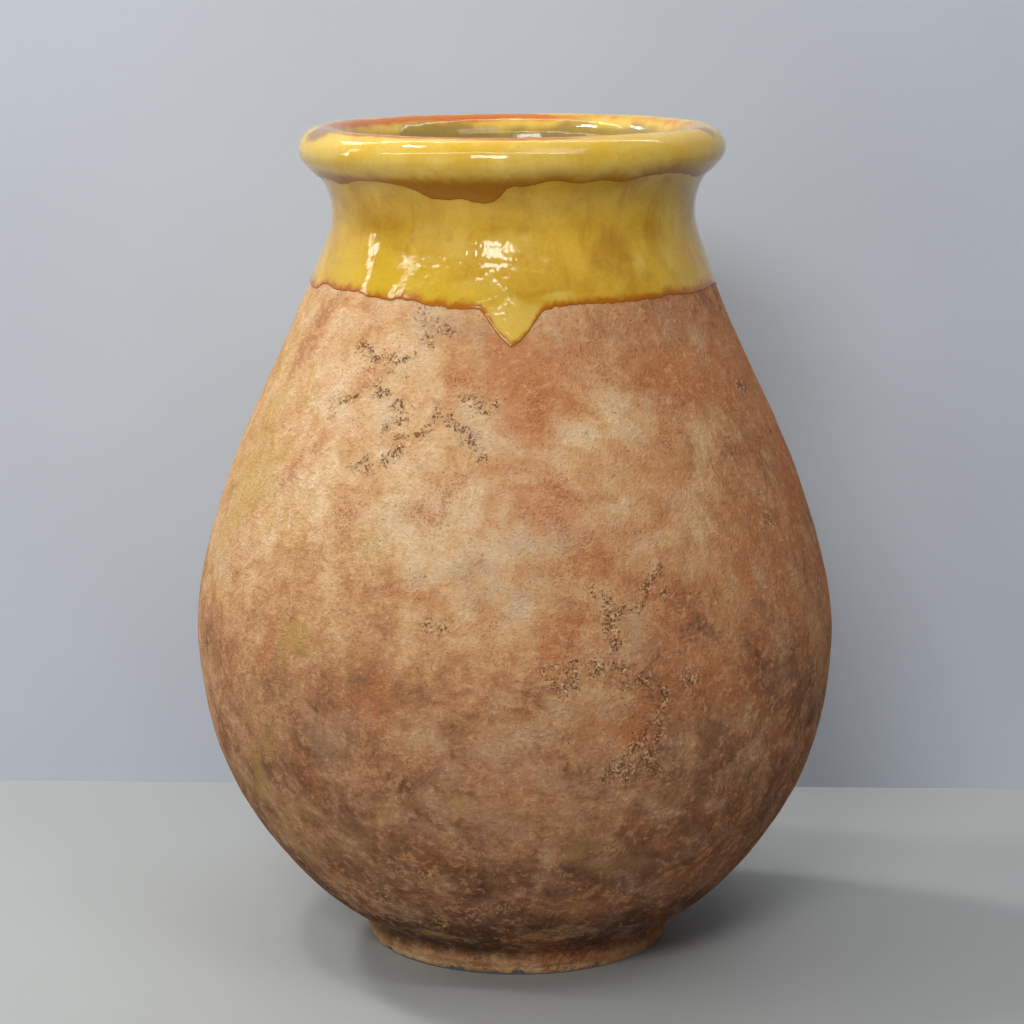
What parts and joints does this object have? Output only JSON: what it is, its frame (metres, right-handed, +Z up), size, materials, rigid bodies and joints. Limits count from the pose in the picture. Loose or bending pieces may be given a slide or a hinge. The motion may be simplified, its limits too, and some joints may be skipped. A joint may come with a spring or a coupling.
{
  "type": "olive jar",
  "caption": "Large free-standing terracotta oil and olive jar: swelling pear-shaped body on a flared foot ring, short collar and rolled rim with yellow glaze.",
  "frame": {"origin": "centre of the foot ring on the plane that the jar stands on, which is the middle of the bottom of its box", "axes": "+Z up along the jar's axis, -Y towards the front, where the glaze runs down in a pointed tongue, +X to the right of someone who faces the front"},
  "size_m": [0.62, 0.62, 0.8],
  "materials": {
    "terracotta": "weathered unglazed terracotta",
    "yellow_glaze": "gloss ochre-yellow lead-type glaze",
    "honey_glaze": "gloss honey-yellow glaze, amber where it pooled",
    "lining_glaze": "gloss khaki lining glaze"
  },
  "bodies": {
    "root": {"foot_slab": "terracotta", "lower_belly": "terracotta", "upper_belly": "terracotta", "shoulder": "terracotta", "neck_collar": "terracotta", "rim_roll": "terracotta", "neck_glaze": "yellow_glaze", "rim_glaze": "honey_glaze", "inner_glaze": "lining_glaze"}
  },
  "joints": []
}
